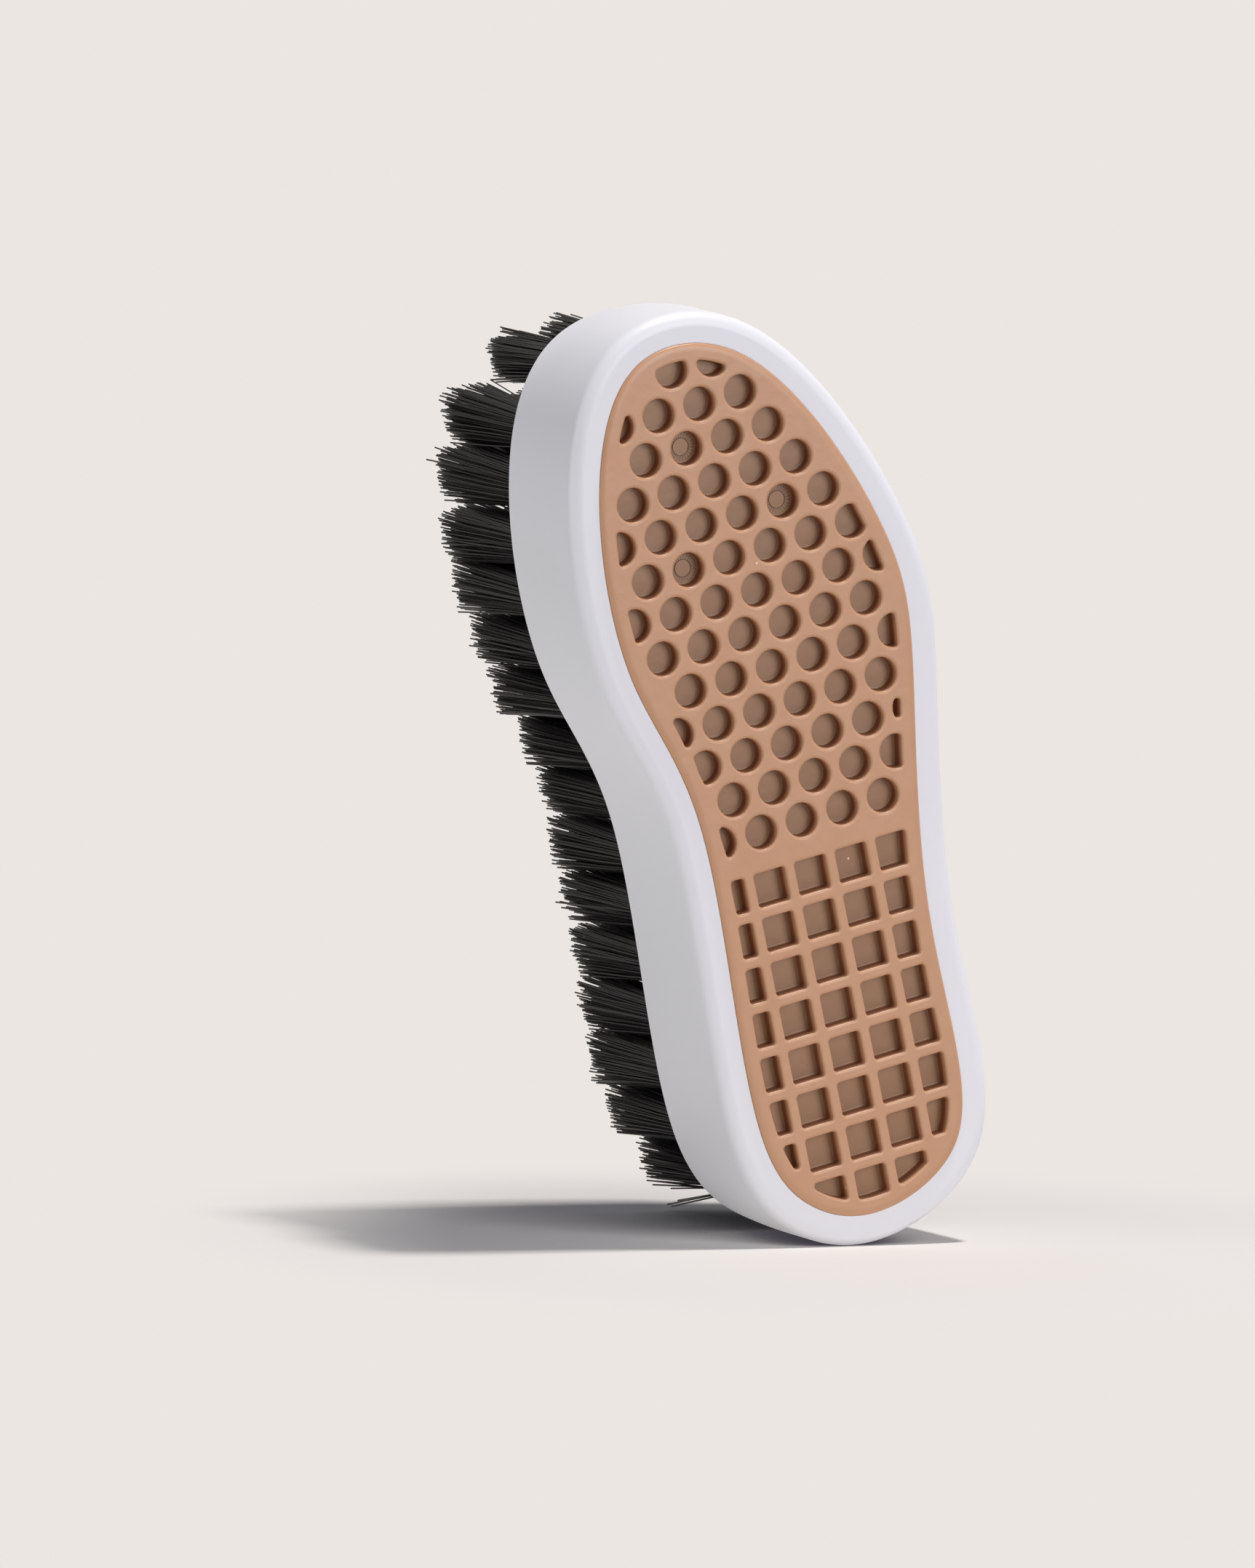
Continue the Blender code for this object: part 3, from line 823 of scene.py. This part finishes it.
def cut_core(place, sides, radius, spin):
    """A pocket's core in plan, cut back to the field, as points in anticlockwise order."""
    bm = bmesh.new()
    matrix = Matrix.Translation((*place, 0)) @ Matrix.Rotation(spin, 4, "Z")
    bmesh.ops.create_circle(bm, cap_ends=True, segments=sides, radius=radius, matrix=matrix)
    near = np.linalg.norm(field - place, axis=1) < NEAR_FIELD
    for point, into in zip(field[near], outline_in[near]):
        bmesh.ops.bisect_plane(
            bm, geom=bm.verts[:] + bm.edges[:] + bm.faces[:], clear_outer=True,
            plane_co=(*(point + into * CORNER), 0), plane_no=(*-into, 0))
    bmesh.ops.remove_doubles(bm, verts=bm.verts, dist=MERGE)
    points = [corner.co.xy[:] for face in bm.faces for corner in face.verts]
    bm.free()
    return np.array(points)


def round_rim(core):
    """Bases and directions of the rim round a core: base + direction * radius is the rim."""
    ahead = np.roll(core, -1, axis=0) - core
    headings = np.arctan2(ahead[:, 1], ahead[:, 0]) - math.radians(90)
    bases = []
    directions = []
    for i, corner in enumerate(core):
        bend = (headings[i] - headings[i - 1]) % math.radians(360)
        steps = max(1, round(bend / ROUND_STEP))
        for angle in headings[i - 1] + bend * np.arange(steps + 1) / steps:
            bases.append(corner)
            directions.append((math.cos(angle), math.sin(angle)))
    return np.array(bases), np.array(directions)


half = (PITCH - RIB) / 2
cores = [cut_core(place, CORE_SIDES, half - CORNER, 0) for place in rounds]
cores += [cut_core(place, 4, (half - CORNER) * math.sqrt(2), math.radians(45))
          for place in squares]
cores = [core for core in cores if len(core) > 2]
print("pockets:", len(cores), "kept")

# %% [markdown]
# ## Tread pad
# The real pad is pressed in a mould. Its outer rim and the rims of all the pockets lie in one
# sheet, which is filled once. All of them keep one running number, so that each can be swept down
# from the sheet.

# %% Top sheet of the pad
LIP = 0.32 * MM
PAD_GAP = 0.02 * MM
PAD_INSET = BORDER + PAD_GAP
EDGE_WIDTH = 1.0 * MM

bases = [outline]
directions = [-outline_in]
for core in cores:
    core_bases, core_directions = round_rim(core)
    bases.append(core_bases)
    directions.append(core_directions)
firsts = np.cumsum([0] + [len(group) for group in bases])
all_bases = np.concatenate(bases)
all_directions = np.concatenate(directions)

bm = bmesh.new()
outer = start_rim(bm, outline, -outline_in, -PAD_INSET - EDGE_WIDTH - SUPPORT, PAD_TOP)
pocket_rims = []
for group, group_directions, first in zip(bases[1:], directions[1:], firsts[1:]):
    pocket_rims += start_rim(
        bm, group, group_directions, CORNER + LIP + SUPPORT, PAD_TOP, int(first))
fill_between(bm, outer + pocket_rims)
print("top sheet:", len(bm.faces), "faces")

# %% [markdown]
# Each pocket has a rounded lip, walls that lean out by a draft for the mould to let go, and a small
# fillet at its floor. Three floors near the toe carry the thin ring that a vent pin of the mould
# leaves.

# %% Pockets of the pad
DRAFT = 0.12 * MM
POCKET_FILLET = 0.12 * MM
VENT_PLACES = [(45.2 * MM, 4.0 * MM), (37.0 * MM, -5.8 * MM), (31.2 * MM, 7.6 * MM)]
VENT_RADIUS = 1.15 * MM
VENT_LINE = 0.16 * MM
VENT_DEPTH = 0.08 * MM

lip = [(CORNER + LIP * (1 - sine), PAD_TOP - LIP * (1 - cosine))
       for sine, cosine in arc(LIP_STEPS)]
foot = [(CORNER - DRAFT - POCKET_FILLET * (1 - cosine), POCKET_FLOOR_Z + POCKET_FILLET * (1 - sine))
        for sine, cosine in arc(LIP_STEPS)]
foot.append((CORNER - DRAFT - POCKET_FILLET - SUPPORT / 2, POCKET_FLOOR_Z))
pocket_floors = sweep(bm, pocket_rims, all_bases, all_directions, lip + foot)
floor_faces = bmesh.ops.edgeloop_fill(bm, edges=pocket_floors)["faces"]
for place in VENT_PLACES:
    vented = min(floor_faces,
                 key=lambda face: (face.calc_center_median().xy - Vector(place)).length)
    reach = math.sqrt(vented.calc_area() / math.pi)
    groove = VENT_LINE / 2
    for width, depth in ((reach - VENT_RADIUS, 0), (groove, -VENT_DEPTH), (groove, VENT_DEPTH)):
        bmesh.ops.inset_individual(bm, faces=[vented], thickness=width, depth=depth)
print("pocket floors:", len(floor_faces))

# %% [markdown]
# The pad's outer edge rolls down softly to the border and meets it almost without a gap, so that
# only a fine line parts the rubber from the plastic.

# %% Edge of the pad
EDGE_DROP = 0.35 * MM
EDGE_STEPS = 6

edge = [(-PAD_INSET - EDGE_WIDTH * (1 - sine), PAD_TOP - EDGE_DROP * (1 - cosine))
        for sine, cosine in arc(EDGE_STEPS)]
base_rim = sweep(bm, outer, all_bases, all_directions, edge + [(-PAD_INSET, pad_low.z)])
bmesh.ops.edgeloop_fill(bm, edges=base_rim)
keep_piece("moulded_tread_pad", bm, tan_rubber, "tan_rubber", "tread_pad")

# %% [markdown]
# ## Tuft plate
# The plate closes the underside. Each tuft comes through its own hole, which has a small round lip.

# %% Tuft plate
HOLE_SIDES = 28
HOLE_LIP = 0.25 * MM

bm = bmesh.new()
angles = np.linspace(0, 2 * math.pi, HOLE_SIDES, endpoint=False)
circle = np.array([(math.cos(angle), math.sin(angle)) for angle in angles])
places = [np.array(place) for name in row_names for place in tufts[name]]
hole_bases = np.concatenate([np.tile(place, (HOLE_SIDES, 1)) for place in places])
hole_directions = np.tile(circle, (len(places), 1))
all_bases = np.concatenate([tucked, hole_bases])
all_directions = np.concatenate([-outline_in, hole_directions])
outer = start_rim(bm, tucked, -outline_in, -PLATE_INSET, plate_low.z)
hole_rims = []
for i, place in enumerate(places):
    first = len(outline) + i * HOLE_SIDES
    hole_rims += start_rim(
        bm, all_bases[first:first + HOLE_SIDES], circle, HOLE_RADIUS + HOLE_LIP, plate_low.z, first)
fill_between(bm, outer + hole_rims)
lip = [(HOLE_RADIUS + HOLE_LIP * (1 - sine), plate_low.z + HOLE_LIP * (1 - cosine))
       for sine, cosine in arc(LIP_STEPS)]
hole_tops = sweep(bm, hole_rims, all_bases, all_directions, lip + [(HOLE_RADIUS, plate_high.z)])
outer_top = sweep(bm, outer, all_bases, all_directions, [(-PLATE_INSET, plate_high.z)])
fill_between(bm, hole_tops + outer_top)
keep_piece("moulded_tuft_plate", bm, white_abs, "white_plastic", "tuft_plate")

# %% [markdown]
# ## Bristles
# Each tuft is a bundle of nylon filaments that fills its hole, and fans out below it until it meets
# its neighbours. The filaments bow a little, the cut is slightly ragged, filaments gather in small
# clumps, and a few stray across the others. Whole tufts tilt by chance, the last two rows at the
# toe are drawn back from the end, where the very last fans out less, and loose filaments stick out
# at both ends.

# %% Sizes of a tuft
SEED = 7
FILAMENTS = 430
FILAMENT_RADIUS = 0.115 * MM
CLUMPS = 14
FAN = 0.98
SQUARENESS = 0.8
LEAN = 0.2 * MM
BOW = 0.10 * MM
TOE_DRAWS = {row_names[-2]: (0.6 * MM, 2.6 * MM), row_names[-1]: (1.8 * MM, 1.8 * MM)}
TOE_FAN = 0.80
LENGTH_STEPS = [0.0, 0.5, 1.0]

chance = np.random.default_rng(SEED)
strip_mid = (strips[row_names[0]][0].z + strips[row_names[0]][1].z) / 2
print("filaments:", FILAMENTS * sum(len(places) for places in tufts.values()))

# %% [markdown]
# The filaments stand in the hole in the even pattern of a sunflower's head. Their tips get the
# chance moves, each drawn for the tuft, for a clump or for a single filament.

# %% Roots and tips
GOLDEN_ANGLE = math.radians(137.508)
TILT_SPREAD = 0.25 * MM
CLUMP_SPREAD = 0.15 * MM
TIP_JITTER = 0.20 * MM
STRAY_SHARE = 0.008
STRAY_REACH = 1.3 * MM
LOOSE_COUNT = 5
LOOSE_SHARES = (0.4, 1.0)
HEEL_REACH = 4.2 * MM
TOE_REACH = 1.2 * MM
CUT_DEPTH = 0.3 * MM
CLUMP_CUT = 0.5


def bundle_roots():
    """Even places of a tuft's filaments in its hole."""
    number = np.arange(FILAMENTS)
    radius = BUNDLE_RADIUS * np.sqrt((number + 0.5) / FILAMENTS)
    angle = number * GOLDEN_ANGLE + chance.uniform(0, 2 * math.pi)
    return np.stack([radius * np.cos(angle), radius * np.sin(angle)], axis=1)


def tip_sway(roots, clump, outward, draw):
    """How far every tip strays from its even place, in X and Y."""
    sway = chance.normal(0, TILT_SPREAD, 2) + chance.normal(0, CLUMP_SPREAD, (CLUMPS, 2))[clump]
    sway += chance.normal(0, TIP_JITTER, roots.shape)
    strays = chance.random(FILAMENTS) < STRAY_SHARE
    sway[strays] += chance.uniform(-STRAY_REACH, STRAY_REACH, (np.count_nonzero(strays), 2))
    if outward:
        loose = np.argsort(-roots[:, 0] * outward)[:LOOSE_COUNT]
        reach = TOE_REACH if outward > 0 else HEEL_REACH
        sway[loose, 0] += outward * chance.uniform(*LOOSE_SHARES, LOOSE_COUNT) * reach
    sway[:, 0] -= draw
    return sway


def tip_heights(clump):
    """Heights of the tips over the floor, where clumps and filaments are cut a little short."""
    cut = chance.uniform(0, CLUMP_CUT, CLUMPS)[clump] + chance.random(FILAMENTS) ** 2
    return CUT_DEPTH * cut / cut.max()


# %% [markdown]
# A line runs from the fused strip down through the hole and on to its tip. A tuft fans out to a
# rounded square that is one row pitch by one tuft spacing, so neighbours meet but don't cross.

# %% Lines of a tuft


def tuft_lines(x, y, lean, across, outward, draw):
    """Lines of one tuft's filaments, each from the fused strip down to its tip."""
    roots = bundle_roots()
    heading = np.abs(roots) / np.linalg.norm(roots, axis=1)[:, None]
    square = heading.max(axis=1)[:, None] ** -SQUARENESS
    fan = np.array((row_pitch, min(across, TUFT_PITCH))) * (FAN / 2 / BUNDLE_RADIUS)
    if outward > 0:
        fan *= TOE_FAN
    centres = roots[chance.choice(FILAMENTS, CLUMPS, replace=False)]
    clump = np.argmin(np.linalg.norm(roots[:, None] - centres, axis=2), axis=1)
    sway = tip_sway(roots, clump, outward, draw)
    shift = roots * square * fan + (0, lean) + sway - roots
    tips = tip_heights(clump)
    bow = chance.normal(0, BOW, roots.shape)
    heights = [np.full(FILAMENTS, strip_mid)]
    offsets = [np.zeros_like(roots)]
    for share in LENGTH_STEPS:
        heights.append(plate_low.z + (tips - plate_low.z) * share)
        offsets.append(shift * share + bow * 4 * share * (1 - share))
    places = [np.column_stack([roots + offset + (x, y), height])
              for offset, height in zip(offsets, heights)]
    return np.stack(places, axis=1)


def row_lines(name):
    """Lines of all the filaments of one row."""
    places = tufts[name]
    across = places[1][1] - places[0][1]
    middle = (places[0][1] + places[-1][1]) / 2
    reach = places[-1][1] - middle
    outward = (name == row_names[-1]) - (name == row_names[0])
    edge_draw, inner_draw = TOE_DRAWS.get(name, (0, 0))
    return np.concatenate([
        tuft_lines(x, y, (y - middle) / reach * LEAN, across, outward,
                   edge_draw if abs(y - middle) > reach / 2 else inner_draw)
        for x, y in places])


# %% [markdown]
# Hair would be quicker, but the finished brush has to be a mesh. So a filament is a thin line with
# a bevel round it, which Blender turns into a tube of four sides. So fine a tube needs no more, and
# the sheen of the nylon still runs along it. Most filaments are dark and a few are paler, because
# the tone is a random number to a high power.

# %% Filament tubes
TONE_POWER = 4


def filament_mesh(name, lines):
    """A mesh with a tube round every line, and each filament's own tone on its faces."""
    curve = bpy.data.curves.new(name, "CURVE")
    curve.dimensions = "3D"
    curve.bevel_depth = FILAMENT_RADIUS
    curve.bevel_resolution = 0
    curve.use_fill_caps = True
    for line in lines:
        spline = curve.splines.new("POLY")
        spline.points.add(len(line) - 1)
        spline.points.foreach_set("co", np.column_stack([line, np.ones(len(line))]).ravel())
    helper = bpy.data.objects.new(name, curve)
    mesh = bpy.data.meshes.new_from_object(helper)
    bpy.data.objects.remove(helper)
    tone = mesh.attributes.new("filament_tone", "FLOAT", "FACE")
    tones = chance.random(len(lines)) ** TONE_POWER
    tone.data.foreach_set("value", np.repeat(tones, len(tone.data) // len(lines)))
    return mesh


# %% [markdown]
# Behind the plate, the ends of a row's filaments are melted into one strip with round ends.
# Filaments and strip are kept as one piece for each row.

# %% Rows of bristles
STRIP_END_STEPS = 8


def add_strip(bm, low, high):
    """Add the fused strip between two corners, with round ends."""
    slab = bmesh.ops.create_cube(
        bm, size=1,
        matrix=Matrix.Translation((low + high) / 2) @ Matrix.Diagonal((*(high - low), 1)))
    edges = {edge for corner in slab["verts"] for edge in corner.link_edges}
    uprights = [edge for edge in edges
                if abs(edge.verts[0].co.z - edge.verts[1].co.z) > CLEARANCE]
    bmesh.ops.bevel(bm, geom=uprights, offset=(high.x - low.x) / 2 - SUPPORT,
                    segments=STRIP_END_STEPS, profile=0.5, affect="EDGES", material=-1)


for name in row_names:
    mesh = filament_mesh(name, row_lines(name))
    bm = bmesh.new()
    bm.from_mesh(mesh)
    bpy.data.meshes.remove(mesh)
    add_strip(bm, *strips[name])
    number = name.removeprefix("tuft_row_")
    keep_piece(f"bristle_row_{number}", bm, black_nylon, "black_bristle", name)

# %% [markdown]
# ## Sizes at the end
# The sizes of the finished model are printed, as those of the solid model were at the start, so
# that they can be compared.

# %% Sizes and the end
low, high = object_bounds()
print("finished model, mm:", [round(1000 * side, 1) for side in high - low])
